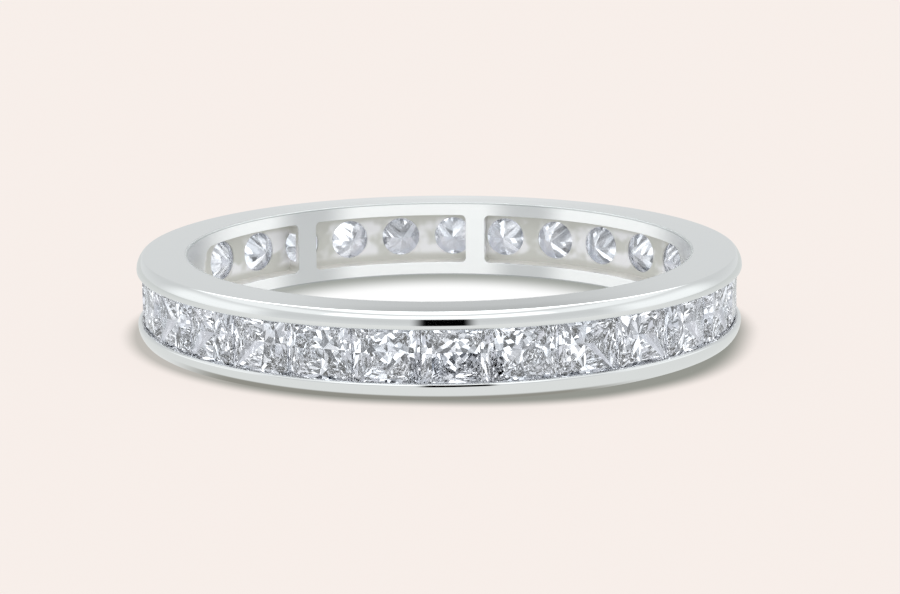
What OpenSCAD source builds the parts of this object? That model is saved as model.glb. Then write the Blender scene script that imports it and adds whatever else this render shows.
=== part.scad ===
// Eternity ring: a polished metal band whose two rails hold a closed row of square-cut stones.
// The ring lies on its side. Its axis is Z, its lower flat face is at z = 0, and its front faces -Y.

/* [Finger hole] */
// Inner diameter of the band
finger_d = 16.5; // [14:0.1:21]

/* [Rails] */
// Width of each rail, seen from outside
rail_w = 0.53; // [0.48:0.01:0.6]
// Radius of a rail's outer face, which falls away from its crest at the channel to its flat side
face_r = 0.6; // [0.6:0.05:1.2]
// Radius of the rounding between a rail's face and its flat side
shoulder_r = 0.1; // [0.06:0.01:0.14]
// Radius of the rounding between the crest and the channel
lip_r = 0.09; // [0.07:0.01:0.11]
// Radius of the rounding at the edges of the finger hole
edge_r = 0.05; // [0.03:0.01:0.08]

/* [Stones] */
// Width of a stone, which is square
stone_w = 2; // [1.9:0.05:2.2]
// Smallest gap between two stones at the girdle
stone_gap = 0.04; // [0.03:0.01:0.08]
// How far a stone reaches under each rail
tuck = 0.2; // [0.16:0.01:0.22]
// Depth of the table below the crest of the rails
table_drop = 0.18; // [0.16:0.01:0.22]
// Width of the table, as a share of the stone's width
table_share = 0.7; // [0.6:0.01:0.72]
// Angle of the first stone from the front of the ring
first_stone = 3.05; // [-6:0.05:6]

/* [Gallery] */
// Metal between the finger and the lowest point of a stone
culet_wall = 0.24; // [0.22:0.01:0.3]
// Thickness of the inner wall that the windows are cut through
wall_t = 0.6; // [0.45:0.01:0.62]
// Thickness of the pierced floor behind that wall
floor_t = 0.18; // [0.16:0.01:0.2]
// Radius of the cone-shaped seat under each stone, where it opens into a window
seat_r = 0.64; // [0.6:0.01:0.68]
// Ledge between the wide end of a seat and the side of the channel
seat_ledge = 0.03; // [0.02:0.01:0.04]
// Height of a window, along the finger
window_h = 1.73; // [1.5:0.01:1.8]

/* [Hidden] */
// Steps in a small rounding, and in the face of a rail
ROUND_STEPS = 4;
FACE_STEPS = 8;
// Clearance between a stone and the metal
FIT = 0.02;
// Overrun of a cut past the face that it goes through
CUT = 0.1;

// Heights of a stone's parts, from the proportions of the cut
crown_h = 0.09 * stone_w;
girdle_h = 0.02 * stone_w;
pavilion_h = 0.51 * stone_w;

// Height and half width of the crown's star points, as shares of the crown and of the half width
STAR_H = 0.5;
STAR_W = 0.885;
// Rows where the facets of the pavilion meet on a stone's middle line
DEPTH = 0;
WIDTH = 1;
chevrons = [
    [0.20, 0.91],
    [0.45, 0.73],
    [0.72, 0.43]
];

// Radii, from the finger outwards
bore_r = finger_d / 2;
wall_r = bore_r + wall_t;
floor_r = wall_r + floor_t;
culet_r = bore_r + culet_wall;
girdle_lo = culet_r + pavilion_h;
girdle_hi = girdle_lo + girdle_h;
table_r = girdle_hi + crown_h;
crest_r = table_r + table_drop;

// Width of the band, and the plane through the middle of the stones
band_w = stone_w + 2 * (rail_w - tuck);
mid_z = band_w / 2;

// Height of a rail's crest, and the centres of the two roundings, which are tangent to the face
crest_z = rail_w - lip_r;
face_x = crest_r - face_r;
lip_x = crest_r - lip_r;
shoulder_x = face_x + side(face_r - shoulder_r, crest_z - shoulder_r);
shoulder_a = atan2(shoulder_r - crest_z, shoulder_x - face_x);

// Groove for the girdle: its bottom clears the corners of a flat stone, which lie on a larger radius
half_w = stone_w / 2;
groove_z = rail_w - tuck - FIT;
groove_lo = girdle_lo - FIT;
groove_hi = norm([girdle_hi, half_w]) + FIT;
groove_mouth_lo = max(girdle_lo - 2.5 * tuck, floor_r + FIT);
groove_mouth_hi = min(groove_hi + tuck * crown_h / (half_w * (1 - table_share)), lip_x - FIT);

// A seat widens through the floor, from the window to the channel
seat_top_r = half_w - tuck - seat_ledge;
seat_slope = (seat_top_r - seat_r) / floor_t;
seat_start = culet_r - 2 * FIT;
seat_end = floor_r + FIT;

// The stones are spread evenly, as many as the girdle has room for
stones = floor(180 / atan((half_w + stone_gap / 2) / girdle_lo));
pitch = 360 / stones;

// Windows of the inner wall, in degrees anticlockwise from +X
START = 0;
END = 1;
back_windows = [
    [10.5, 78.8],
    [83.6, 122.3],
    [127.4, 165]
];
// Width of a post between two windows, in degrees, and of the two posts at the sides of the ring
POST = 5;
SIDE_POST = 16;
// The posts of the front stand between two stones, this many stones apart
POST_STEP = 4;
front_posts = [for (k = [-1 : 1]) first_stone + 270 + (k * POST_STEP - 0.5) * pitch];
front_edges = concat(
    back_windows[2][END] + SIDE_POST,
    [for (p = front_posts) each [p - POST / 2, p + POST / 2]],
    back_windows[0][START] + 360 - SIDE_POST
);
front_windows = [for (i = [0 : 2 : len(front_edges) - 2]) [front_edges[i], front_edges[i + 1]]];
windows = concat(back_windows, front_windows);

$fn = 96;

// The other short side of a right triangle
function side(long, short) = sqrt(long * long - short * short);

// Points of an arc about c, from angle a to angle b
function arc(c, r, a, b, steps) =
    [for (i = [0 : steps]) c + r * [cos(a + (b - a) * i / steps), sin(a + (b - a) * i / steps)]];

// Two digits keep the names in order
function stone_name(i) = str("stone_", i < 10 ? "0" : "", i);

// Four points at one radius of the ring, r from the stone's middle, the first at angle a
function four(radius, r, a) =
    [for (i = [0 : 3]) [radius, r * cos(a + 90 * i), r * sin(a + 90 * i)]];

// The lower half of the band's section, as [radius, height], from the finger to the channel's floor
function half_section() = concat(
    arc([bore_r + edge_r, edge_r], edge_r, 180, 270, ROUND_STEPS),
    arc([shoulder_x, shoulder_r], shoulder_r, -90, shoulder_a, ROUND_STEPS),
    arc([face_x, crest_z], face_r, shoulder_a, 0, FACE_STEPS),
    arc([lip_x, crest_z], lip_r, 0, 90, ROUND_STEPS),
    [
        [groove_mouth_hi, rail_w],
        [groove_hi, groove_z],
        [groove_lo, groove_z],
        [groove_mouth_lo, rail_w],
        [floor_r, rail_w]
    ]
);

// The whole section: the lower half, and the same points mirrored about the middle
function band_section(half) = concat(
    half,
    [for (i = [len(half) - 1 : -1 : 0]) [half[i][0], band_w - half[i][1]]]
);

// One window, cut from the finger as far as the floor
module window_cut(w) {
    rotate([0, 0, w[START]])
        rotate_extrude(angle = w[END] - w[START])
            translate([bore_r - CUT, mid_z - window_h / 2])
                square([wall_t + CUT, window_h]);
}

// Radius of a seat at a distance from the ring's axis
function seat_at(radius) = seat_r + (radius - wall_r) * seat_slope;

// A seat through the floor, blind behind a post
module seat_drill() {
    translate([seat_start, 0, mid_z])
        rotate([0, 90, 0])
            cylinder(h = seat_end - seat_start, r1 = seat_at(seat_start), r2 = seat_at(seat_end));
}

// Turns its children from +X to the place of stone i
module at_stone(i) {
    rotate([0, 0, first_stone - 90 + (i - 1) * pitch])
        children();
}

// Rails, inner wall and floor are one piece of metal
module band() {
    color([0.84, 0.85, 0.86])
        difference() {
            rotate_extrude()
                polygon(band_section(half_section()));
            for (w = windows) {
                window_cut(w);
            }
            for (i = [1 : stones]) {
                at_stone(i) seat_drill();
            }
        }
}

// A square cut: table, stars and breaks above the girdle, and fans of chevrons below it.
// The rows of points run from the table to the culet, four in each.
module stone(i) {
    corner = half_w * sqrt(2);
    points = concat(
        four(table_r, corner * table_share, 45),
        four(girdle_hi + STAR_H * crown_h, half_w * STAR_W, 90),
        four(girdle_hi, corner, 45),
        four(girdle_lo, corner, 45),
        [for (c = chevrons) each four(girdle_lo - c[DEPTH] * pavilion_h, half_w * c[WIDTH], 90)],
        [[culet_r, 0, 0]]
    );
    tables = 0;
    stars = 4;
    upper = 8;
    lower = 12;
    first = 16;
    culet = first + 4 * len(chevrons);
    last = culet - 4;
    faces = concat(
        [[tables + 3, tables + 2, tables + 1, tables]],
        [for (a = [0 : 3]) let (b = (a + 1) % 4) each [
            [tables + b, stars + a, tables + a],
            [stars + a, upper + a, tables + a],
            [tables + b, upper + b, stars + a],
            [upper + b, upper + a, stars + a],
            [upper + b, lower + b, lower + a, upper + a],
            [lower + b, first + a, lower + a],
            [lower + a, last + a, culet],
            [lower + b, culet, last + a]
        ]],
        [for (a = [0 : 3], row = [first : 4 : last - 4]) let (b = (a + 1) % 4) each [
            [lower + a, row + a, row + 4 + a],
            [lower + b, row + 4 + a, row + a]
        ]]
    );
    color([0.9, 0.93, 0.98])
        at_stone(i)
            translate([0, 0, mid_z])
                polyhedron(points, faces);
}

band();
for (i = [1 : stones]) {
    stone(i);
}
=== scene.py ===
"""Dresses a channel-set eternity ring: its polished band, its stones, and a plain pale studio.

The classes give lengths in millimetres and angles in degrees, and every mesh is in metres. The ring's
axis is Z, its lower side lies on z = 0 and its front faces -Y.
"""

import logging
import math
from dataclasses import dataclass
from enum import Enum
from typing import Any, Mapping, Optional, Sequence, Union

import bpy
import numpy as np
from mathutils import Matrix, Vector


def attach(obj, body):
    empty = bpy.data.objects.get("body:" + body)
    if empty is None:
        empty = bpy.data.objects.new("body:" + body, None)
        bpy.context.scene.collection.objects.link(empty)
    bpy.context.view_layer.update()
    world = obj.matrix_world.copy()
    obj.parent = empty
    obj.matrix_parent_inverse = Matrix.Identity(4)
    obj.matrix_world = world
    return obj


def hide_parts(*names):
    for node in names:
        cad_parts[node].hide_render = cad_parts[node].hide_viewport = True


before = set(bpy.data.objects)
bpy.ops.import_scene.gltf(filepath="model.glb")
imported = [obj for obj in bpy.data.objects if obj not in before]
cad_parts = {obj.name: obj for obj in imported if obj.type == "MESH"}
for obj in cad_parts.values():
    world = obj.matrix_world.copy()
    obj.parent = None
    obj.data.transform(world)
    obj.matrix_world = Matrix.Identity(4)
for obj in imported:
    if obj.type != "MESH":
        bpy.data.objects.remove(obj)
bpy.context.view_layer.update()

MM = 0.001
TO_DEGREES = 180 / math.pi
# Two points that are closer than this, in millimetres, are one
SAME = 1e-6
LOG = logging.getLogger("ring")

Colour = tuple[float, float, float]
Number = Union[int, float]
# Where a soft step leaves 0, and where it reaches 1
Step = tuple[float, float]
# Places along a ramp, from 0 to 1, with the colour at each
Stops = Sequence[tuple[float, Colour]]

BLACK: Colour = (0.0, 0.0, 0.0)


class Signal:
    """A number that runs through a shader tree, with arithmetic that adds the tree's Math nodes."""

    def __init__(self, tree: "ShaderTree", socket: bpy.types.NodeSocket) -> None:
        """Wraps an output socket that carries a number."""
        self.tree = tree
        self.socket = socket

    def __add__(self, other: "SignalLike") -> "Signal":
        """Sum."""
        return self.tree.math("ADD", self, other)

    def __sub__(self, other: "SignalLike") -> "Signal":
        """Difference."""
        return self.tree.math("SUBTRACT", self, other)

    def __rsub__(self, other: "SignalLike") -> "Signal":
        """Difference from a plain number."""
        return self.tree.math("SUBTRACT", other, self)

    def __mul__(self, other: "SignalLike") -> "Signal":
        """Product."""
        return self.tree.math("MULTIPLY", self, other)

    def __truediv__(self, other: "SignalLike") -> "Signal":
        """Quotient."""
        return self.tree.math("DIVIDE", self, other)

    def __abs__(self) -> "Signal":
        """Size without the sign."""
        return self.tree.math("ABSOLUTE", self)

    __radd__ = __add__
    __rmul__ = __mul__

    def ramp(self, start: Number, end: Number) -> "Signal":
        """Goes smoothly from 0 to 1 as the signal goes from start to end.

        Args:
            start: Where the result leaves 0.
            end: Where it reaches 1. It may be below start.

        Returns:
            The eased signal.
        """
        low, high = min(start, end), max(start, end)
        settings = {"interpolation_type": "SMOOTHSTEP"}
        values = {"Value": self, "From Min": low, "From Max": high, "To Min": 0.0, "To Max": 1.0}
        if start > end:
            values.update({"To Min": 1.0, "To Max": 0.0})
        return Signal(self.tree, self.tree.node("ShaderNodeMapRange", settings, values).outputs[0])

    def step(self, base: Number, ends: Step) -> "Signal":
        """Goes smoothly from 0 to 1 between two places that are given from a base."""
        return self.ramp(base + ends[0], base + ends[1])


SignalLike = Union[Signal, Number]


class ShaderTree:
    """The node tree of a material or a world, filled from code."""

    def __init__(self, owner: Union[bpy.types.Material, bpy.types.World]) -> None:
        """Empties the owner's tree.

        Args:
            owner: The material or world to fill.
        """
        owner.use_nodes = True
        self.tree = owner.node_tree
        self.tree.nodes.clear()

    def node(
        self,
        kind: str,
        settings: Optional[Mapping[str, Any]] = None,
        values: Optional[Mapping[Union[str, int], Any]] = None,
    ) -> bpy.types.Node:
        """Adds a node, sets its settings first and then its sockets.

        Args:
            kind: The node's type.
            settings: Its own settings. "stops" gives a ramp's places and colours.
            values: A value or a link for each input socket, by its name or its place.

        Returns:
            The new node.
        """
        new = self.tree.nodes.new(kind)
        for name, setting in (settings or {}).items():
            if name == "stops":
                self._set_stops(new, setting)
            else:
                setattr(new, name, setting)
        for name, value in (values or {}).items():
            self.feed(new.inputs[name], value)
        return new

    @staticmethod
    def _set_stops(ramp: bpy.types.Node, stops: Stops) -> None:
        """Gives a colour ramp its stops.

        Args:
            ramp: The ramp's node.
            stops: The place and colour of each stop, in order.
        """
        elements = ramp.color_ramp.elements
        while len(elements) < len(stops):
            elements.new(1.0)
        for element, (place, colour) in zip(elements, stops):
            element.position = place
            element.color = (*colour, 1.0)

    def feed(self, target: bpy.types.NodeSocket, value: Any) -> None:
        """Links a socket or a signal to an input, or sets the input's own value.

        Args:
            target: The input.
            value: A signal, an output socket, a number, a vector or a colour.
        """
        if isinstance(value, Signal):
            value = value.socket
        if isinstance(value, bpy.types.NodeSocket):
            self.tree.links.new(value, target)
        elif isinstance(value, tuple) and len(value) == 3 and target.type == "RGBA":
            target.default_value = (*value, 1.0)
        else:
            target.default_value = value

    def math(self, operation: str, *values: SignalLike) -> Signal:
        """Adds a Math node on one or more numbers."""
        node = self.node("ShaderNodeMath", {"operation": operation}, dict(enumerate(values)))
        return Signal(self, node.outputs[0])

    def vector(self, operation: str, *values: Any) -> bpy.types.NodeSocket:
        """Adds a Vector Math node on one or more vectors."""
        node = self.node("ShaderNodeVectorMath", {"operation": operation}, dict(enumerate(values)))
        return node.outputs[0]

    def place(self) -> bpy.types.NodeSocket:
        """The point's own Object coordinates, in millimetres."""
        point = self.node("ShaderNodeTexCoord").outputs["Object"]
        return self.vector("MULTIPLY", point, (1 / MM, 1 / MM, 1 / MM))

    def parts(self, vector: bpy.types.NodeSocket) -> tuple[Signal, Signal, Signal]:
        """Splits a vector or a colour into its three numbers."""
        split = self.node("ShaderNodeSeparateXYZ", values={0: vector})
        return tuple(Signal(self, socket) for socket in split.outputs)

    def join(self, x: SignalLike, y: SignalLike, z: SignalLike) -> bpy.types.NodeSocket:
        """Makes a vector of three numbers."""
        return self.node("ShaderNodeCombineXYZ", values={0: x, 1: y, 2: z}).outputs[0]

    def length(self, x: Signal, y: Signal) -> Signal:
        """Length of a flat vector: the root of the sum of the squares."""
        return self.math("SQRT", x * x + y * y)

    def angle(self, rise: SignalLike, run: SignalLike) -> Signal:
        """Angle of a flat vector, in degrees: the arc tangent of rise over run."""
        return self.math("ARCTAN2", rise, run) * TO_DEGREES

    def mix(
        self, share: SignalLike, first: Any, second: Any, blend: str = "MIX"
    ) -> bpy.types.NodeSocket:
        """Blends two colours by a share from 0 to 1."""
        settings = {"data_type": "RGBA", "blend_type": blend}
        return self.node("ShaderNodeMix", settings, {0: share, 6: first, 7: second}).outputs[2]

    def gradient(self, stops: Stops, share: SignalLike) -> bpy.types.NodeSocket:
        """Picks a colour between stops, by a share from 0 to 1."""
        return self.node("ShaderNodeValToRGB", {"stops": stops}, {0: share}).outputs[0]

    def noise(self, place: bpy.types.NodeSocket, scale: float, detail: float = 2.0) -> Signal:
        """Adds a soft noise of a scale, in cycles for each millimetre."""
        values = {"Vector": place, "Scale": scale, "Detail": detail}
        return Signal(self, self.node("ShaderNodeTexNoise", values=values).outputs["Fac"])

    def ray(self, kind: str) -> Signal:
        """Is 1 for light paths of a kind, such as "Is Camera Ray", and 0 for the others."""
        return Signal(self, self.node("ShaderNodeLightPath").outputs[kind])

    def surface(
        self, shader: bpy.types.NodeSocket, target: str = "ShaderNodeOutputMaterial"
    ) -> None:
        """Ends the tree in its output."""
        self.node(target, values={"Surface": shader})


def new_material(name: str) -> tuple[bpy.types.Material, ShaderTree]:
    """Makes an empty material, and gives it with its tree."""
    material = bpy.data.materials.new(name)
    return material, ShaderTree(material)


@dataclass(frozen=True)
class Solid:
    """A closed surface: points in millimetres, and blocks of faces that have equally many corners."""

    points: np.ndarray
    faces: tuple[np.ndarray, ...]


def mesh_object(name: str, solids: Sequence[Solid]) -> bpy.types.Object:
    """Makes one object of one or more solids.

    Args:
        name: The object's name.
        solids: The solids. The corners of a face go anticlockwise as seen from outside.

    Returns:
        The object, linked to the scene, at the origin.
    """
    points = np.concatenate([solid.points for solid in solids])
    starts = np.cumsum([0, *(len(solid.points) for solid in solids)])
    faces = []
    for solid, start in zip(solids, starts):
        for block in solid.faces:
            faces += (block + start).tolist()
    mesh = bpy.data.meshes.new(name)
    mesh.from_pydata((points * MM).tolist(), [], faces)
    mesh.validate()
    piece = bpy.data.objects.new(name, mesh)
    bpy.context.scene.collection.objects.link(piece)
    return piece


def grid_faces(rows: int, columns: int, wrap_rows: bool, wrap_columns: bool) -> np.ndarray:
    """Quads of a grid of points that are numbered row by row.

    Args:
        rows: Points along the first parameter.
        columns: Points along the second.
        wrap_rows: Whether the last row joins the first.
        wrap_columns: Whether the last column joins the first.

    Returns:
        Array of quads, four corners each.
    """
    row = np.arange(rows if wrap_rows else rows - 1)[:, None]
    column = np.arange(columns if wrap_columns else columns - 1)[None, :]
    row_next, column_next = (row + 1) % rows, (column + 1) % columns
    corners = (
        row * columns + column,
        row_next * columns + column,
        row_next * columns + column_next,
        row * columns + column_next,
    )
    return np.stack([corner.ravel() for corner in corners], axis=1)


def arc(
    centre: tuple[float, float], radius: float, start: float, end: float, steps: int
) -> np.ndarray:
    """Points of an arc: the centre plus the radius times the cosine and sine of each angle.

    Args:
        centre: The arc's centre.
        radius: Its radius.
        start: Its first angle.
        end: Its last angle.
        steps: How many steps it takes.

    Returns:
        Array of points, each with the unit vector that points away from the centre.
    """
    angle = np.radians(np.linspace(start, end, steps + 1))
    away = np.stack([np.cos(angle), np.sin(angle)], axis=1)
    return np.concatenate([np.asarray(centre) + radius * away, away], axis=1)


def read_all(items: Any, name: str, width: int = 1, kind: type = float) -> np.ndarray:
    """Reads one attribute of all items of a mesh.

    Args:
        items: The mesh's collection, such as its vertices.
        name: The attribute's name.
        width: How many numbers an item has.
        kind: The type of the numbers.

    Returns:
        Array with an item in each row, or a flat one where the width is 1.
    """
    values = np.empty(len(items) * width, kind)
    items.foreach_get(name, values)
    return values.reshape(-1, width) if width > 1 else values


@dataclass(frozen=True)
class Sizes:
    """The ring's own sizes.

    Radii are from the ring's axis, and heights from its lower side. The groove for the girdles runs
    from groove_lo to groove_hi at groove_z, and widens to mouth_lo and mouth_hi at the rail's side.
    """

    bore_r: float = 8.25
    wall_r: float = 8.85
    floor_r: float = 9.03
    culet_r: float = 8.49
    girdle_lo: float = 9.51
    girdle_hi: float = 9.55
    crest_r: float = 9.91
    band_w: float = 2.66
    rail_w: float = 0.53
    groove_z: float = 0.31
    groove_lo: float = 9.49
    groove_hi: float = 9.622
    mouth_lo: float = 9.05
    mouth_hi: float = 9.742
    window_h: float = 1.73
    seat_r: float = 0.64
    seat_top_r: float = 0.77
    stones: int = 29
    first_stone: float = 3.05

    @property
    def mid_z(self) -> float:
        """Height of the plane through the middle of the stones."""
        return self.band_w / 2

    def seat_at(self, radius: np.ndarray) -> np.ndarray:
        """Radius of a stone's seat, which widens evenly through the floor, at radii of the band."""
        slope = (self.seat_top_r - self.seat_r) / (self.floor_r - self.wall_r)
        return self.seat_r + (radius - self.wall_r) * slope

    def stone_angle(self, index: int) -> float:
        """Angle of a stone, anticlockwise from +X."""
        return self.first_stone - 90 + index * 360 / self.stones


class Area(Enum):
    """The areas of the band that differ in finish."""

    WALL = "the wall that touches the finger"
    EDGE = "the rounded edges of the finger hole"
    RECESS = "all that lies between the wall and the rails' crests"
    SILL = "the upper and lower sides of the windows"
    SEAT = "the seats, and what lies beyond them"
    GROOVE = "the groove for the girdles"


@dataclass(frozen=True)
class Areas:
    """Where the areas of the band are, as soft steps from the faces that bound them."""

    wall: Step = (0.03, 0.01)
    shaded_edge: Step = (0.10, 0.06)
    edge_end: Step = (-0.06, -0.045)
    recess: Step = (0.02, 0.06)
    recess_top: Step = (-0.12, -0.17)
    recess_side: Step = (0.03, 0.01)
    sill: Step = (-0.03, -0.01)
    sill_end: Step = (0.01, -0.01)
    seat: Step = (0.02, 0.07)
    groove: Step = (-0.01, 0.01)
    groove_end: Step = (0.10, 0.06)
    groove_foot: Step = (0.17, 0.27)
    groove_top: Step = (-0.10, -0.12)

    def masks(self, sizes: Sizes, radius: Signal, off_middle: Signal) -> dict[Area, Signal]:
        """Makes the mask of each area: the product of its steps along the radius and the height.

        Args:
            sizes: The ring's sizes, which place the faces.
            radius: The point's distance from the ring's axis.
            off_middle: Its distance from the middle plane.

        Returns:
            For each area a signal, 1 in the area and 0 outside.
        """
        window_z = sizes.window_h / 2
        channel_z = sizes.mid_z - sizes.rail_w
        groove_z = sizes.mid_z - sizes.groove_z
        return {
            Area.WALL: radius.step(sizes.bore_r, self.wall),
            Area.EDGE: radius.step(sizes.bore_r, self.shaded_edge)
            * off_middle.step(sizes.mid_z, self.edge_end),
            Area.RECESS: radius.step(sizes.bore_r, self.recess)
            * radius.step(sizes.crest_r, self.recess_top)
            * off_middle.step(window_z, self.recess_side),
            Area.SILL: off_middle.step(window_z, self.sill)
            * radius.step(sizes.wall_r, self.sill_end),
            Area.SEAT: radius.step(sizes.wall_r, self.seat),
            Area.GROOVE: off_middle.step(channel_z, self.groove)
            * off_middle.step(groove_z, self.groove_end)
            * radius.step(sizes.floor_r, self.groove_foot)
            * radius.step(sizes.crest_r, self.groove_top),
        }


@dataclass(frozen=True)
class PolishedMetal:
    """White metal: polished rails, a satin inner wall, and recesses left as cast.

    The satin wall has painted shade at a few places, each given by its angle and how far it reaches, and
    is more metallic there.
    """

    name: str = "polished_white_metal"
    areas: Areas = Areas()
    polished: Colour = (0.83, 0.845, 0.845)
    satin: Colour = (0.97, 0.975, 0.975)
    shaded_satin: Colour = (0.74, 0.75, 0.76)
    # Painted shade: the rounded edges of the finger hole are darkened
    shaded_edge: Colour = (0.50, 0.52, 0.52)
    cast: Colour = (0.68, 0.675, 0.635)
    painted_glint: Colour = (0.96, 0.95, 0.97)
    # Painted light: the seats are far lighter than the cast metal, against the shade that falls in them
    seat: Colour = (0.96, 0.96, 0.97)
    sill: Colour = (0.84, 0.82, 0.79)
    # Painted shade: the groove for the girdles is nearly black
    groove: Colour = (0.12, 0.13, 0.15)
    polish_roughness: float = 0.06
    satin_roughness: float = 0.30
    cast_roughness: float = 0.40
    edge_roughness: float = 0.3
    satin_metal: float = 0.15
    shaded_metal: float = 0.85
    cast_matt: float = 0.6
    # Painted shade on the satin wall: the angle of each darker place, and how far it reaches
    shaded_places: tuple[tuple[float, float], ...] = (
        (68.0, 8.0),
        (124.0, 9.0),
        (0.0, 22.0),
        (180.0, 22.0),
        (-180.0, 22.0),
    )
    shade_core: float = 0.3
    shade_end: float = 1.5
    # Painted glints on the cast metal: their scale, where they set in, and how far from the middle they
    # reach
    glint_scale: float = 1.1
    glint_step: Step = (0.40, 0.58)
    glint_reach: Step = (0.75, 0.50)
    cloud_scale: float = 0.7
    line_scale: float = 54.0
    line_detail: float = 4.0
    uneven_polish: float = 0.04
    grain_scale: float = 9.0
    grain_detail: float = 3.0
    uneven_cast: float = 0.15
    line_height: float = 0.15
    grain_height: float = 2.0
    bump: float = 0.04
    bump_m: float = 0.00001

    def clear_of_painted_shade(self, around: Signal) -> Signal:
        """How clear the satin wall is of its painted shade: the product of one soft step about each
        shaded place.

        Args:
            around: The point's angle about the ring's axis.

        Returns:
            0 at the middle of a worn place, and 1 away from all of them.
        """
        bright = 1.0
        for middle, reach in self.shaded_places:
            away = abs(around - middle)
            bright = bright * away.ramp(reach * self.shade_core, reach * self.shade_end)
        return bright

    def material(self, sizes: Sizes) -> bpy.types.Material:
        """Builds the material.

        Faint polishing lines run round the band, and slow noise varies the gloss.

        Args:
            sizes: The ring's sizes, which place the areas.

        Returns:
            The material.
        """
        material, tree = new_material(self.name)
        place = tree.place()
        x, y, z = tree.parts(place)
        radius = tree.length(x, y)
        off_middle = abs(z - sizes.mid_z)
        areas = self.areas.masks(sizes, radius, off_middle)
        wall, shaded_edge, recess = areas[Area.WALL], areas[Area.EDGE], areas[Area.RECESS]
        # Painted shade: 0 where the satin wall is painted darker and made more metallic, 1 elsewhere
        bright = self.clear_of_painted_shade(tree.angle(y, x))

        # Painted glints: pale lilac patches on the cast metal, most of them about the middle height of
        # the windows
        painted_glints = tree.noise(place, self.glint_scale).ramp(*self.glint_step)
        painted_glints = painted_glints * off_middle.ramp(*self.glint_reach)
        cast = tree.mix(painted_glints, self.cast, self.painted_glint)
        # Painted light: the seats, and what lies beyond them, are lightened
        inside = tree.mix(areas[Area.SEAT], cast, self.seat)
        inside = tree.mix(areas[Area.SILL], inside, self.sill)
        outside = tree.mix(wall, self.polished, tree.mix(bright, self.shaded_satin, self.satin))
        colour = tree.mix(recess, outside, inside)
        # Painted shade in the groove for the girdles
        colour = tree.mix(areas[Area.GROOVE], colour, self.groove)
        # Painted shade on the finger hole's rounded edges, which are also made rougher below
        colour = tree.mix(shaded_edge, colour, self.shaded_edge)

        satin_metal = self.satin_metal + (1 - bright) * (self.shaded_metal - self.satin_metal)
        metallic = 1 - wall * (1 - satin_metal) - recess * self.cast_matt

        clouds = tree.noise(place, self.cloud_scale)
        lines = tree.noise(tree.join(radius, z, 0.0), self.line_scale, self.line_detail)
        grain = tree.noise(place, self.grain_scale, self.grain_detail)
        cast_roughness = self.cast_roughness + (grain - 0.5) * self.uneven_cast
        roughness = (
            self.polish_roughness
            + (clouds - 0.5) * self.uneven_polish
            + (lines - 0.5) * self.uneven_polish
            + recess * (cast_roughness - self.polish_roughness)
            + wall * (self.satin_roughness - self.polish_roughness)
            + shaded_edge * self.edge_roughness
        )
        height = lines * self.line_height + recess * grain * self.grain_height
        bump = tree.node(
            "ShaderNodeBump",
            values={"Strength": self.bump, "Distance": self.bump_m, "Height": height},
        )
        shader = tree.node(
            "ShaderNodeBsdfPrincipled",
            values={
                "Base Color": colour,
                "Metallic": metallic,
                "Roughness": roughness,
                "Normal": bump.outputs[0],
            },
        )
        tree.surface(shader.outputs[0])
        return material


@dataclass(frozen=True)
class ClearStone:
    """Colourless cut stone, with a faint cool cast that wanders from spot to spot."""

    name: str = "clear_stone"
    index: float = 2.417
    clear: Colour = (0.985, 0.99, 1.0)
    cool: Colour = (0.90, 0.95, 1.0)
    wander_scale: float = 1.5
    wander: Step = (0.4, 0.7)
    pavilion: Step = (0.0, -0.06)
    pavilion_roughness: float = 0.03
    film_roughness: float = 0.14

    def material(self, sizes: Sizes) -> bpy.types.Material:
        """Builds the material.

        The crown is polished clear. The pavilion is a little softer from inside, and has a film outside.

        Args:
            sizes: The ring's sizes, which say where the pavilion ends.

        Returns:
            The material.
        """
        material, tree = new_material(self.name)
        place = tree.place()
        x, y, _ = tree.parts(place)
        pavilion = tree.length(x, y).step(sizes.girdle_hi, self.pavilion)
        inner = Signal(tree, tree.node("ShaderNodeNewGeometry").outputs["Backfacing"])
        roughness = self.film_roughness + inner * (self.pavilion_roughness - self.film_roughness)
        cast = tree.noise(place, self.wander_scale).ramp(*self.wander)
        shader = tree.node(
            "ShaderNodeBsdfPrincipled",
            values={
                "Base Color": tree.mix(cast, self.clear, self.cool),
                "Roughness": pavilion * roughness,
                "IOR": self.index,
                "Transmission Weight": 1.0,
            },
        )
        tree.surface(shader.outputs[0])
        return material


@dataclass(frozen=True)
class Window:
    """A window of the inner wall: its two ends, anticlockwise from +X, and their roundings."""

    start: float
    end: float
    start_r: float = 0.17
    end_r: float = 0.17


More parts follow.
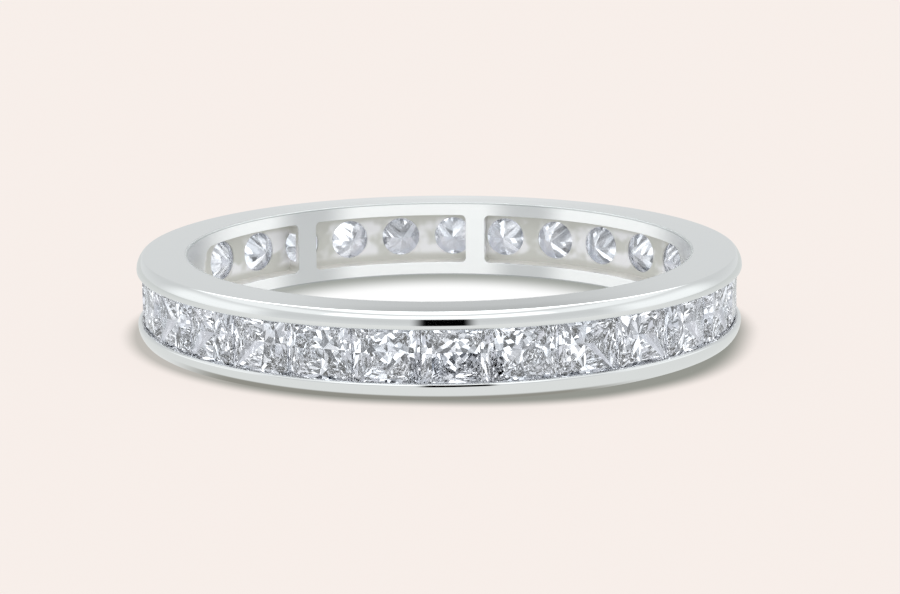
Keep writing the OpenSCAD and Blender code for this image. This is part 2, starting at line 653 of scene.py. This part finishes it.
@dataclass
class Band:
    """The band: two rails, an inner wall with windows, and a pierced floor under the stones.

    From dome_r outwards its flat sides are shaded as if they fell away by dome_tilt.
    """

    sizes: Sizes
    finish: PolishedMetal
    around: int = 580
    edge_r: float = 0.05
    edge_steps: int = 6
    shoulder_r: float = 0.10
    shoulder_steps: int = 8
    face_r: float = 0.60
    face_steps: int = 10
    lip_r: float = 0.09
    lip_steps: int = 8
    dome_r: float = 8.95
    dome_tilt: float = 0.7
    mouth_steps: int = 4
    window_edge_r: float = 0.03
    window_overrun: float = 0.15
    window_flare: float = 0.02
    corner_steps: int = 12
    window_step: float = 1.2
    window_least: int = 8
    windows: tuple[Window, ...] = (
        Window(10.5, 78.8, start_r=0.8),
        Window(83.6, 122.3),
        Window(127.4, 165.0, end_r=0.8),
        Window(181.0, 214.69, start_r=0.8),
        Window(219.69, 264.34),
        Window(269.34, 314.0),
        Window(319.0, 354.5, end_r=0.8),
    )
    seat_edge_r: float = 0.06
    seat_around: int = 48
    seat_back: float = 0.04
    seat_lift: float = 0.004
    seat_overrun: float = 0.02
    crease: float = 35.0
    on_line: float = 0.004
    facing_weight: float = 0.02

    def half_section(self) -> np.ndarray:
        """The lower half of the section, from the finger round to the channel's floor.

        It is a row of arcs about fixed centres, joined by straight lines.

        Returns:
            Array of points as radius and height, each with its outward unit vector along both.
        """
        s = self.sizes
        crest_z = s.rail_w - self.lip_r
        face_x = s.crest_r - self.face_r
        long, rise = self.face_r - self.shoulder_r, crest_z - self.shoulder_r
        run = math.sqrt(long**2 - rise**2)
        shoulder_x = face_x + run
        shoulder_a = math.degrees(math.atan2(-rise, shoulder_x - face_x))
        shoulder = arc(
            (shoulder_x, self.shoulder_r), self.shoulder_r, -90, shoulder_a, self.shoulder_steps
        )
        tilt = math.radians(self.dome_tilt)
        shoulder[0, 2:] = math.sin(tilt), -math.cos(tilt)
        lip_centre = (s.crest_r - self.lip_r, crest_z)
        # The channel's corners, each with the unit vectors of the lines before it and after it
        corners = np.array(
            [
                [s.mouth_hi, s.rail_w, 0, 1, 1, 0],
                [s.groove_hi, s.groove_z, 1, 0, 0, 1],
                [s.groove_lo, s.groove_z, 0, 1, -1, 0],
                [s.mouth_lo, s.rail_w, -1, 0, 0, 1],
                [s.floor_r, s.rail_w, 0, 1, 1, 0],
            ]
        )
        channel = corners[:, [0, 1, 2, 3, 0, 1, 4, 5]].reshape(-1, 4)
        return np.concatenate(
            [
                arc((s.bore_r + self.edge_r, self.edge_r), self.edge_r, 180, 270, self.edge_steps),
                [[self.dome_r, 0.0, 0.0, -1.0]],
                shoulder,
                arc((face_x, crest_z), self.face_r, shoulder_a, 0, self.face_steps)[1:],
                arc(lip_centre, self.lip_r, 0, 90, self.lip_steps)[1:],
                channel,
            ]
        )

    def section(self) -> np.ndarray:
        """The whole section: the lower half, and the same mirrored about the middle plane.

        Returns:
            Array of points as in the half section.
        """
        half = self.half_section()
        other = half[::-1] * [1, -1, 1, -1] + [0, self.sizes.band_w, 0, 0]
        return np.concatenate([half, other])

    def shell(self) -> bpy.types.Object:
        """Turns the section round the axis: radius times cosine, radius times sine, height.

        Returns:
            The band without its windows and seats.
        """
        line = self.section()[:, :2]
        step = np.linalg.norm(line - np.roll(line, 1, axis=0), axis=1)
        line = line[step > SAME]
        angle = np.linspace(0, 2 * np.pi, self.around, endpoint=False)
        points = np.stack(
            [
                np.outer(np.cos(angle), line[:, 0]),
                np.outer(np.sin(angle), line[:, 0]),
                np.broadcast_to(line[:, 1], (self.around, len(line))),
            ],
            axis=-1,
        ).reshape(-1, 3)
        faces = grid_faces(self.around, len(line), True, True)
        return mesh_object("ring_band", [Solid(points, (faces,))])

    def rounded_mouth(self, edge_r: float) -> tuple[np.ndarray, np.ndarray]:
        """The rounding at the mouth of a cut: edge_r times 1 - cosine deep, and 1 - sine wide.

        Args:
            edge_r: The rounding's radius.

        Returns:
            The depth and the width at each step.
        """
        bend = np.linspace(0, np.pi / 2, self.mouth_steps + 1)
        return edge_r * (1 - np.cos(bend)), edge_r * (1 - np.sin(bend))

    def window_cutter(self, window: Window) -> Solid:
        """One window's cutter, from inside the finger hole to the floor.

        Its outline is a rounded rectangle: each point is the centre of a rounding plus the rounding's
        radius along a unit vector, and the flare at the wall's face adds to that radius.

        Args:
            window: The window.

        Returns:
            The cutter.
        """
        s = self.sizes
        first_r, last_r = window.start_r, window.end_r
        turn = np.radians(np.linspace(180, 270, self.corner_steps + 1))
        span = window.end - window.start
        length = math.radians(span) * s.bore_r
        steps = max(self.window_least, int(span / self.window_step))
        along = np.linspace(first_r, length - last_r, steps + 1)[1:-1]
        count = len(turn)
        corner_r = np.concatenate(
            [np.full(count, first_r), np.zeros(len(along)), np.full(count, last_r)]
        )
        centre_s = np.concatenate(
            [np.full(count, first_r), along, np.full(count, length - last_r)]
        )
        centre_z = corner_r - s.window_h / 2
        way_s = np.concatenate([np.cos(turn), np.zeros(len(along)), -np.cos(turn[::-1])])
        way_z = np.concatenate([np.sin(turn), -np.ones(len(along)), np.sin(turn[::-1])])

        depth, flare = self.rounded_mouth(self.window_edge_r)
        radius = np.concatenate([[s.bore_r - self.window_overrun], s.bore_r + depth, [s.wall_r]])
        flare = np.concatenate([[self.window_edge_r + self.window_flare], flare, [0.0]])
        reach = corner_r + flare[:, None]
        lower_s, lower_z = centre_s + reach * way_s, centre_z + reach * way_z
        around = np.concatenate([lower_s, lower_s[:, ::-1]], axis=1) / s.bore_r
        angle = math.radians(window.start) + around
        height = np.concatenate([lower_z, -lower_z[:, ::-1]], axis=1) + s.mid_z
        points = np.stack(
            [radius[:, None] * np.cos(angle), radius[:, None] * np.sin(angle), height], axis=-1
        )

        layers, count = angle.shape
        walls = grid_faces(layers, count, False, True)
        k = np.arange(count // 2 - 1)
        cap = np.stack([k, k + 1, count - 2 - k, count - 1 - k], axis=1)
        far = cap + (layers - 1) * count
        return Solid(points.reshape(-1, 3), (walls[:, ::-1], cap[:, ::-1], far))

    def seat_cutter(self, index: int) -> Solid:
        """The cutter of one stone's round seat, from behind the floor into the channel.

        Its rings have their points at the seat's radius, and each ring lies on a cylinder about the
        band's axis, so that the seat's rounded mouth follows the floor.

        Args:
            index: The stone's place in the row.

        Returns:
            The cutter.
        """
        s = self.sizes
        turn = np.linspace(0, 2 * np.pi, self.seat_around, endpoint=False)
        depth, flare = self.rounded_mouth(self.seat_edge_r)
        near_r, far_r = s.culet_r - self.seat_back, s.floor_r + self.seat_overrun
        radius = np.concatenate([[near_r], s.wall_r + self.seat_lift + depth, [far_r]])
        reach = s.seat_at(radius) + np.concatenate([[self.seat_edge_r], flare, [0.0]])
        reach[0] = reach[1]
        aside = reach[:, None] * np.cos(turn)
        out = np.sqrt(radius[:, None] ** 2 - aside**2)
        height = s.mid_z + reach[:, None] * np.sin(turn)
        rings = np.stack([out, aside, height], axis=-1).reshape(-1, 3)
        ends = np.array([[radius[0], 0, s.mid_z], [radius[-1], 0, s.mid_z]])
        a = math.radians(s.stone_angle(index))
        turned = np.concatenate([rings, ends]) @ np.array(
            [[math.cos(a), math.sin(a), 0], [-math.sin(a), math.cos(a), 0], [0, 0, 1]]
        )

        count, rows = len(turn), len(radius)
        k = np.arange(count)
        k_next = (k + 1) % count
        last_ring, near_end, far_end = (rows - 1) * count, rows * count, rows * count + 1
        near = np.stack([np.full(count, near_end), k_next, k], axis=1)
        far = np.stack([np.full(count, far_end), last_ring + k, last_ring + k_next], axis=1)
        walls = grid_faces(rows, count, False, True)
        return Solid(turned, (walls[:, ::-1], near, far))

    @staticmethod
    def cut(piece: bpy.types.Object, cutter: bpy.types.Object) -> None:
        """Takes a cutter out of a piece, and removes the cutter.

        Args:
            piece: The piece that is cut.
            cutter: The closed surface that is taken out of it.
        """
        boolean = piece.modifiers.new("cut", "BOOLEAN")
        boolean.operation = "DIFFERENCE"
        boolean.solver = "EXACT"
        boolean.object = cutter
        depsgraph = bpy.context.evaluated_depsgraph_get()
        mesh = bpy.data.meshes.new_from_object(piece.evaluated_get(depsgraph))
        piece.modifiers.clear()
        old, piece.data = piece.data, mesh
        bpy.data.meshes.remove(old)
        cutter_mesh = cutter.data
        bpy.data.objects.remove(cutter)
        bpy.data.meshes.remove(cutter_mesh)

    def section_lines(self) -> np.ndarray:
        """The lines of the section, and the line of the floor behind the windows.

        Returns:
            Array of lines, of two ends each, as radius, height and the outward unit vector.
        """
        s = self.sizes
        section = self.section()
        lines = np.stack([section, np.roll(section, -1, axis=0)], axis=1)
        low, high = s.mid_z - s.window_h / 2, s.mid_z + s.window_h / 2
        floor = [[[s.wall_r, low, -1, 0], [s.wall_r, high, -1, 0]]]
        lines = np.concatenate([lines, floor])
        length = np.linalg.norm(lines[:, 1, :2] - lines[:, 0, :2], axis=1)
        return lines[length > SAME]

    def match_faces(
        self, lines: np.ndarray, centres: np.ndarray, normals: np.ndarray
    ) -> tuple[np.ndarray, np.ndarray]:
        """Matches each face to the nearest line of the section.

        The distance is that of the face's middle from the line in the section's plane, plus a weight
        times 1 minus the cosine between the face's normal and the line's.

        Args:
            lines: The section's lines.
            centres: The middles of the faces, in millimetres.
            normals: Their normals.

        Returns:
            Each face's line, and whether the face lies on it.
        """
        start, along = lines[:, 0], lines[:, 1, :2] - lines[:, 0, :2]
        flat = np.stack([np.hypot(centres[:, 0], centres[:, 1]), centres[:, 2]], axis=1)
        out = centres[:, :2] / flat[:, :1]
        flat_normal = np.stack([(normals[:, :2] * out).sum(1), normals[:, 2]], axis=1)
        share = ((flat[:, None] - start[None, :, :2]) * along).sum(-1) / (along**2).sum(1)
        nearest = start[:, :2] + np.clip(share, 0, 1)[..., None] * along
        distance = np.linalg.norm(flat[:, None] - nearest, axis=-1)
        middle = lines[:, 0, 2:] + lines[:, 1, 2:]
        middle /= np.linalg.norm(middle, axis=1)[:, None]
        distance += self.facing_weight * (1 - np.einsum("fk,sk->fs", flat_normal, middle))
        line = distance.argmin(1)
        return line, distance[np.arange(len(line)), line] < self.on_line

    def set_normals(self, piece: bpy.types.Object) -> None:
        """Gives the turned surfaces their true normals.

        A corner's normal is the blend of the two end normals of its face's line, at the corner's
        share of the line's length, turned to the corner's angle. Cut faces keep the mesh's normals.

        Args:
            piece: The band.
        """
        mesh = piece.data
        mesh.polygons.foreach_set("use_smooth", np.ones(len(mesh.polygons), bool))
        mesh.set_sharp_from_angle(angle=math.radians(self.crease))
        vertices = read_all(mesh.vertices, "co", 3) / MM
        centres = read_all(mesh.polygons, "center", 3) / MM
        face_normals = read_all(mesh.polygons, "normal", 3)
        corners = read_all(mesh.corner_normals, "vector", 3)
        totals = read_all(mesh.polygons, "loop_total", kind=int)
        corner_vertex = read_all(mesh.loops, "vertex_index", kind=int)

        lines = self.section_lines()
        line, turned = self.match_faces(lines, centres, face_normals)
        line, turned = np.repeat(line, totals), np.repeat(turned, totals)
        start, end = lines[line, 0], lines[line, 1]
        along = end[:, :2] - start[:, :2]
        spot = vertices[corner_vertex]
        spot_r = np.hypot(spot[:, 0], spot[:, 1])
        flat = np.stack([spot_r, spot[:, 2]], axis=1)
        share = ((flat - start[:, :2]) * along).sum(1) / (along**2).sum(1)
        share = np.clip(share, 0, 1)[:, None]
        normal = start[:, 2:] * (1 - share) + end[:, 2:] * share
        normal /= np.maximum(np.linalg.norm(normal, axis=1), SAME)[:, None]
        out = spot[:, :2] / spot_r[:, None]
        true = np.concatenate([normal[:, :1] * out, normal[:, 1:]], axis=1)
        corners[turned] = true[turned]
        mesh.normals_split_custom_set(corners.tolist())

    def build(self) -> bpy.types.Object:
        """Builds the band and puts it in the place of its solid.

        Returns:
            The band.
        """
        piece = self.shell()
        windows = [self.window_cutter(window) for window in self.windows]
        self.cut(piece, mesh_object("windows", windows))
        seats = [self.seat_cutter(index) for index in range(self.sizes.stones)]
        self.cut(piece, mesh_object("seats", seats))
        self.set_normals(piece)
        piece.data.materials.clear()
        piece.data.materials.append(self.finish.material(self.sizes))
        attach(piece, "root")
        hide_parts("band")
        # What a stone passes on is the studio's light, as if no metal stood round it
        piece.visible_transmission = False
        return piece


@dataclass
class Stones:
    """The closed row of cut stones.

    Every stone has the same cut, and its own small errors of cutting and setting, so that no two
    sparkle alike.
    """

    sizes: Sizes
    finish: ClearStone
    along_w: float = 2.05
    across_w: float = 2.0
    crown_h: float = 0.18
    table_share: float = 0.7
    star_h: float = 0.5
    star_w: float = 0.885
    chevrons: int = 4
    bulge: float = 1.6
    bulge_error: float = 0.12
    row_error: float = 0.03
    tilt_error: float = 0.9
    seed: int = 29

    def rows(self, luck: np.random.Generator) -> np.ndarray:
        """The rows of points of one stone, from the table to the last chevron, four in each.

        A row is a square: its distance from the middle times the cosine and sine of four angles. The
        pavilion's half width is 1 minus the depth to the power of the bulge, as shares of the whole.

        Args:
            luck: Where the stone's own errors come from.

        Returns:
            Array of rows, of four points as out, along and across.
        """
        s = self.sizes
        depth = np.arange(1, self.chevrons + 1) / (self.chevrons + 1)
        depth = depth + luck.uniform(-self.row_error, self.row_error, self.chevrons)
        width = 1 - depth ** (self.bulge + luck.uniform(-self.bulge_error, self.bulge_error))
        table, star = s.girdle_hi + self.crown_h, s.girdle_hi + self.star_h * self.crown_h
        pavilion = s.girdle_lo - depth * (s.girdle_lo - s.culet_r)
        out = np.concatenate([[table, star, s.girdle_hi, s.girdle_lo], pavilion])
        corner = math.sqrt(2)
        reach = np.concatenate([[corner * self.table_share, self.star_w, corner, corner], width])
        first = np.concatenate([[45.0, 90.0, 45.0, 45.0], np.full(self.chevrons, 90.0)])
        turn = np.radians(first[:, None] + 90.0 * np.arange(4))
        return np.stack(
            [
                np.broadcast_to(out[:, None], turn.shape),
                reach[:, None] * np.cos(turn) * self.along_w / 2,
                reach[:, None] * np.sin(turn) * self.across_w / 2,
            ],
            axis=-1,
        )

    def facets(self) -> tuple[np.ndarray, ...]:
        """The facets: table, girdle, stars, breaks, chevrons and the fans at the culet.

        Returns:
            Blocks of facets with four and with three corners.
        """
        a = np.arange(4)
        b = (a + 1) % 4
        table, star, upper, lower, first = (4 * row for row in range(5))
        last, culet = first + 4 * (self.chevrons - 1), np.full(4, first + 4 * self.chevrons)
        threes = [
            [table + a, star + a, table + b],
            [table + a, upper + a, star + a],
            [star + a, upper + b, table + b],
            [star + a, upper + a, upper + b],
            [lower + a, first + a, lower + b],
            [culet, last + a, lower + a],
            [last + a, culet, lower + b],
        ]
        for row in range(first, last, 4):
            threes.append([row + 4 + a, row + a, lower + a])
            threes.append([row + a, row + 4 + a, lower + b])
        triangles = np.concatenate([np.stack(three, axis=1) for three in threes])
        girdle = np.stack([upper + a, lower + a, lower + b, upper + b], axis=1)
        return (table + a)[None, :], girdle, triangles

    def stone(self, index: int, luck: np.random.Generator) -> bpy.types.Object:
        """Cuts and sets one stone: its points are tilted a touch, then turned to their place.

        Args:
            index: The stone's place in the row.
            luck: Where its own errors come from.

        Returns:
            The stone.
        """
        s = self.sizes
        culet = np.array([[s.culet_r, 0.0, 0.0]])
        points = np.concatenate([self.rows(luck).reshape(-1, 3), culet])
        middle = Vector((s.girdle_lo, 0, 0))
        tilt = Matrix.Identity(3)
        for axis in "XYZ":
            error = math.radians(luck.uniform(-1, 1) * self.tilt_error)
            tilt = Matrix.Rotation(error, 3, axis) @ tilt
        points = (points - middle) @ np.array(tilt).T + middle
        turn = np.array(Matrix.Rotation(math.radians(s.stone_angle(index)), 3, "Z"))
        points = points @ turn.T + [0, 0, s.mid_z]
        return mesh_object(f"cut_stone_{index + 1:02d}", [Solid(points, self.facets())])

    def build(self) -> list[bpy.types.Object]:
        """Builds the row, each stone in the place of its solid.

        Returns:
            The stones.
        """
        material = self.finish.material(self.sizes)
        luck = np.random.default_rng(self.seed)
        pieces = [self.stone(index, luck) for index in range(self.sizes.stones)]
        for index, piece in enumerate(pieces):
            piece.data.materials.append(material)
            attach(piece, "root")
            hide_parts(f"stone_{index + 1:02d}")
        return pieces


@dataclass(frozen=True)
class Camera:
    """The camera, at the place that the photograph was taken from."""

    place: tuple[float, float, float] = (0.344, -81.817, 18.916)
    pitch: float = 12.367
    roll: float = -0.431
    focal_px: float = 2533.28
    picture_px: int = 900
    sensor: float = 36.0
    near_m: float = 0.001
    far_m: float = 10.0

    def build(self) -> bpy.types.Object:
        """Makes the camera and sets it as the scene's.

        Returns:
            The camera.
        """
        pitch, roll = math.radians(self.pitch), math.radians(self.roll)
        aside = Vector((1, 0, 0))
        forward = Vector((0, math.cos(pitch), -math.sin(pitch)))
        above = Vector((0, math.sin(pitch), math.cos(pitch)))
        right = math.cos(roll) * aside + math.sin(roll) * above
        up = math.cos(roll) * above - math.sin(roll) * aside
        data = bpy.data.cameras.new("camera")
        data.sensor_fit = "HORIZONTAL"
        data.sensor_width = self.sensor
        data.lens = self.focal_px * self.sensor / self.picture_px
        data.clip_start = self.near_m
        data.clip_end = self.far_m
        camera = bpy.data.objects.new("camera", data)
        turn = Matrix((right, up, -forward)).transposed().to_4x4()
        camera.matrix_world = Matrix.Translation(Vector(self.place) * MM) @ turn
        bpy.context.scene.collection.objects.link(camera)
        bpy.context.scene.camera = camera
        return camera


@dataclass(frozen=True)
class PaleFloor:
    """A plain matt floor. It glows a little, so that no broad shadow lies round the ring.

    Its shade hugs the ring's foot, reaches further out at the right of the front, and fades at the
    left. Metal and stones mirror a neutral grey floor, with painted shade at the front of the ring's
    foot.
    """

    name: str = "pale_floor"
    around: Colour = (0.908, 0.835, 0.796)
    inside: Colour = (0.97, 0.97, 0.965)
    shade: Colour = (0.305, 0.31, 0.28)
    inner_shade: Colour = (0.365, 0.38, 0.355)
    glow: float = 0.95
    inner_glow: float = 0.9
    inside_edge: float = 0.2
    shade_r: float = 9.56
    shade_w: float = 1.05
    inner_shade_w: float = 2.35
    lobe_angle: float = -54.0
    lobe: Step = (44.0, 6.0)
    lobe_w: float = 0.66
    left: Step = (-4.0, -9.0)
    left_fade: float = 0.38
    mirrored_front: Colour = (0.86, 0.87, 0.86)
    mirrored_back: Colour = (0.70, 0.72, 0.71)
    mirrored_foot_shade: Colour = (0.33, 0.32, 0.285)
    back: Step = (-20.0, 20.0)
    foot_shift: float = 0.13
    foot_r: Step = (9.94, 9.84)
    foot_x: float = -1.3
    foot_reach: Step = (8.0, 5.0)
    foot_front: Step = (-4.0, -7.0)

    def mirrored(self, tree: ShaderTree, x: Signal, y: Signal) -> bpy.types.NodeSocket:
        """The floor as metal and stones mirror it, with painted shade at the front of the ring's foot.

        Args:
            tree: The floor's tree.
            x: The point's place to the right of the ring's axis.
            y: Its place behind the axis.

        Returns:
            The colour.
        """
        colour = tree.mix(y.ramp(*self.back), self.mirrored_front, self.mirrored_back)
        # Painted shade: a dark patch of floor, seen only by metal and stones, hugs the front of the
        # ring's foot
        painted_foot_shade = tree.length(x + self.foot_shift, y).ramp(*self.foot_r)
        painted_foot_shade = painted_foot_shade * abs(x - self.foot_x).ramp(*self.foot_reach)
        return tree.mix(painted_foot_shade * y.ramp(*self.foot_front), colour, self.mirrored_foot_shade)

    def clear(self, tree: ShaderTree, sizes: Sizes, x: Signal, y: Signal) -> Signal:
        """How clear of shade the floor is: the largest of the parts outside, at the left and inside.

        Args:
            tree: The floor's tree.
            sizes: The ring's sizes, which say where its inside ends.
            x: The point's place to the right of the ring's axis.
            y: Its place behind the axis.

        Returns:
            0 in full shade, 1 where there is none.
        """
        radius = tree.length(x, y)
        lobe = abs(tree.angle(y, x) - self.lobe_angle).ramp(*self.lobe)
        outer = (radius - lobe * self.lobe_w).step(self.shade_r, (0.0, self.shade_w))
        clear = tree.math("MAXIMUM", outer, x.ramp(*self.left) * self.left_fade)
        return tree.math("MAXIMUM", clear, radius.step(sizes.bore_r, (0.0, -self.inner_shade_w)))

    def material(self, sizes: Sizes) -> bpy.types.Material:
        """Builds the material.

        Args:
            sizes: The ring's sizes, which say where its inside ends.

        Returns:
            The material.
        """
        material, tree = new_material(self.name)
        x, y, _ = tree.parts(tree.place())
        inside = tree.length(x, y).ramp(sizes.crest_r - self.inside_edge, sizes.bore_r)
        plain = tree.mix(inside, self.around, self.inside)
        shade = tree.mix(inside, self.shade, self.inner_shade)
        colour = tree.mix(self.clear(tree, sizes, x, y), shade, plain)
        glow = self.glow - inside * (self.glow - self.inner_glow)
        seen = tree.ray("Is Camera Ray")
        lit = tree.mix(seen, self.mirrored(tree, x, y), tree.mix(glow, BLACK, colour))
        shader = tree.node(
            "ShaderNodeBsdfPrincipled",
            values={
                "Base Color": tree.mix(seen * (1 - glow), BLACK, colour),
                "Roughness": 1.0,
                "Specular IOR Level": 0.0,
                "Emission Color": lit,
                "Emission Strength": 1.0,
            },
        )
        tree.surface(shader.outputs[0])
        return material


class Side(Enum):
    """The side of the ring that a card stands on. Its value turns the card's angle to that side."""

    CAMERA = 1
    FAR = -1


@dataclass(frozen=True)
class Card:
    """A patch of the surroundings, by its angle from the middle of its side and its height."""

    side: Side
    turn: float
    rise: float
    half_width: float
    half_height: float
    soft: float
    level: float

    def cover(self, turn: Signal, rise: Signal) -> Signal:
        """How much of the patch lies in a direction: a soft step across times one up and down.

        Args:
            turn: The direction's angle from the middle of the card's side.
            rise: Its height.

        Returns:
            0 outside the patch, 1 inside.
        """
        border = (self.soft, -self.soft)
        across = abs(turn - self.turn).step(self.half_width, border)
        return across * abs(rise - self.rise).step(self.half_height, border)


@dataclass(frozen=True)
class Flag:
    """A small black card that stands close in front of the ring, seen only where it is mirrored."""

    name: str
    x: float
    low: float
    high: float
    half_width: float
    y: float = -10.3
    soft: float = 0.28
    soft_z: float = 0.04

    def material(self) -> bpy.types.Material:
        """Builds the card's black, which fades out towards its edges.

        Returns:
            The material.
        """
        material, tree = new_material(self.name)
        across, _, up = tree.parts(tree.place())
        cover = abs(across - self.x).step(self.half_width, (self.soft, -self.soft))
        cover = cover * up.step(self.low, (0.0, self.soft_z))
        cover = cover * up.step(self.high, (0.0, -self.soft_z))
        clear = tree.node("ShaderNodeBsdfTransparent").outputs[0]
        black = tree.node("ShaderNodeEmission", values={"Color": BLACK}).outputs[0]
        mixed = tree.node("ShaderNodeMixShader", values={0: cover, 1: clear, 2: black})
        tree.surface(mixed.outputs[0])
        return material

    def build(self) -> bpy.types.Object:
        """Makes the card: four corners, upright and facing the ring.

        Returns:
            The card.
        """
        reach = self.half_width + self.soft
        x = self.x + reach * np.array([-1, 1, 1, -1])
        z = np.array([self.low, self.low, self.high, self.high])
        points = np.stack([x, np.full(4, self.y), z], axis=1)
        piece = mesh_object(self.name, [Solid(points, (np.array([[3, 2, 1, 0]]),))])
        piece.data.materials.append(self.material())
        piece.visible_camera = False
        piece.visible_diffuse = False
        piece.visible_transmission = False
        piece.visible_shadow = False
        return piece


@dataclass
class Studio:
    """The pale floor, soft light all round, and two small black cards in front of the rails.

    The light's level follows the height, and cards stand before that. What a stone passes on also
    shows a mosaic of lamps and gaps, as a cut stone gathers them from all sides: full of sparkle
    from the camera's side, and calm from beyond.
    """

    sizes: Sizes
    floor: PaleFloor
    flags: tuple[Flag, ...] = (
        Flag("upper_flag", 0.19, 2.25, 2.79, 0.88),
        Flag("lower_flag", 0.64, 0.33, 1.30, 1.20),
    )
    floor_size: float = 3000.0
    floor_lines: int = 9
    tint: Colour = (0.975, 0.995, 1.0)
    matt_boost: float = 1.43
    heights: tuple[tuple[float, float], ...] = (
        (-90, 0.90),
        (0, 0.80),
        (20, 0.72),
        (33, 0.74),
        (38, 1.05),
        (50, 1.05),
        (56, 0.80),
        (60, 0.80),
        (64, 1.40),
        (90, 1.40),
    )
    cards: tuple[Card, ...] = (
        Card(Side.FAR, 0, 9.3, 2, 1.3, 4, 0.96),
        Card(Side.FAR, -0.6, 13.8, 3.2, 1.6, 2.2, 0.50),
        Card(Side.FAR, 0, 45, 30, 9, 3, 4.5),
        Card(Side.CAMERA, 0, 46, 50, 7, 3, 1.6),
        Card(Side.CAMERA, 95, 14, 25, 16, 10, 1.1),
        Card(Side.CAMERA, -95, 14, 25, 16, 10, 1.1),
    )
    coarse: float = 5.0
    coarse_share: float = 0.6
    fine: float = 12.0
    fine_share: float = 0.4
    sparkle: Stops = (
        (0.0, (0.006, 0.008, 0.012)),
        (0.29, (0.018, 0.024, 0.036)),
        (0.38, (0.20, 0.215, 0.245)),
        (0.47, (0.58, 0.60, 0.64)),
        (0.58, (0.84, 0.86, 0.90)),
        (0.70, (1.6, 1.64, 1.7)),
        (1.0, (3.2, 3.25, 3.35)),
    )
    calm: Stops = (
        (0.0, (0.42, 0.43, 0.47)),
        (0.30, (0.54, 0.55, 0.60)),
        (0.50, (0.66, 0.67, 0.73)),
        (0.70, (0.75, 0.76, 0.82)),
        (1.0, (0.92, 0.92, 0.97)),
    )
    beyond: Step = (0.0, 0.5)
    bounces: int = 24
    glossy_bounces: int = 12
    diffuse_bounces: int = 4

    def lay_floor(self) -> bpy.types.Object:
        """Lays the floor as a flat grid.

        Returns:
            The floor.
        """
        count, half = self.floor_lines, self.floor_size / 2
        line = np.linspace(-half, half, count)
        x, y = np.meshgrid(line, line, indexing="ij")
        points = np.stack([x, y, np.zeros_like(x)], axis=-1).reshape(-1, 3)
        piece = mesh_object("floor", [Solid(points, (grid_faces(count, count, False, False),))])
        piece.data.materials.append(self.floor.material(self.sizes))
        piece.visible_transmission = False
        return piece

    def surroundings(
        self, tree: ShaderTree, x: Signal, y: Signal, z: Signal
    ) -> bpy.types.NodeSocket:
        """What metal and floor get from the surroundings: the level at each height, and the cards.

        Args:
            tree: The world's tree.
            x: The direction's part to the right.
            y: Its part away from the camera's side.
            z: Its part upwards.

        Returns:
            The colour.
        """
        rise = tree.math("ARCSINE", z) * TO_DEGREES
        turns = {side: tree.angle(x * side.value, y * -side.value) for side in Side}
        stops = [((height + 90) / 180, (level, level, level)) for height, level in self.heights]
        colour = tree.gradient(stops, (rise + 90) / 180)
        for card in self.cards:
            cover = card.cover(turns[card.side], rise)
            colour = tree.mix(cover, colour, (card.level, card.level, card.level))
        return tree.mix(1.0, colour, self.tint, "MULTIPLY")

    def mosaic(
        self, tree: ShaderTree, way: bpy.types.NodeSocket, y: Signal
    ) -> bpy.types.NodeSocket:
        """What the stones show of the surroundings: small bright and dark cells.

        Args:
            tree: The world's tree.
            way: The direction.
            y: Its part away from the camera's side.

        Returns:
            The colour.
        """
        pick = 0.0
        for scale, share in ((self.coarse, self.coarse_share), (self.fine, self.fine_share)):
            cells = tree.node("ShaderNodeTexVoronoi", values={"Vector": way, "Scale": scale})
            pick = pick + tree.parts(cells.outputs["Color"])[0] * share
        sparkle, calm = tree.gradient(self.sparkle, pick), tree.gradient(self.calm, pick)
        return tree.mix(y.ramp(*self.beyond), sparkle, calm)

    def light(self) -> None:
        """Lights the scene from all round, a little stronger on what is matt."""
        world = bpy.data.worlds.new("studio")
        bpy.context.scene.world = world
        tree = ShaderTree(world)
        way = tree.node("ShaderNodeTexCoord").outputs["Generated"]
        x, y, z = tree.parts(way)
        seen = self.surroundings(tree, x, y, z)
        colour = tree.mix(tree.ray("Is Transmission Ray"), seen, self.mosaic(tree, way, y))
        strength = 1 + tree.ray("Is Diffuse Ray") * (self.matt_boost - 1)
        back = tree.node("ShaderNodeBackground", values={"Color": colour, "Strength": strength})
        tree.surface(back.outputs[0], "ShaderNodeOutputWorld")

    def build(self) -> None:
        """Sets up the floor, the flags, the light, the colour and how often light bounces."""
        self.lay_floor()
        for flag in self.flags:
            flag.build()
        self.light()
        scene = bpy.context.scene
        scene.view_settings.view_transform = "Standard"
        scene.cycles.max_bounces = self.bounces
        scene.cycles.transmission_bounces = self.bounces
        scene.cycles.glossy_bounces = self.glossy_bounces
        scene.cycles.diffuse_bounces = self.diffuse_bounces


def main() -> None:
    """Builds the studio and the ring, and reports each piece."""
    logging.basicConfig(level=logging.INFO, format="%(name)s: %(message)s")
    sizes = Sizes()
    Camera().build()
    Studio(sizes, PaleFloor()).build()
    band = Band(sizes, PolishedMetal()).build()
    stones = Stones(sizes, ClearStone()).build()
    for piece in (band, *stones):
        LOG.info("%s: %d faces", piece.name, len(piece.data.polygons))


if __name__ == "__main__":
    main()
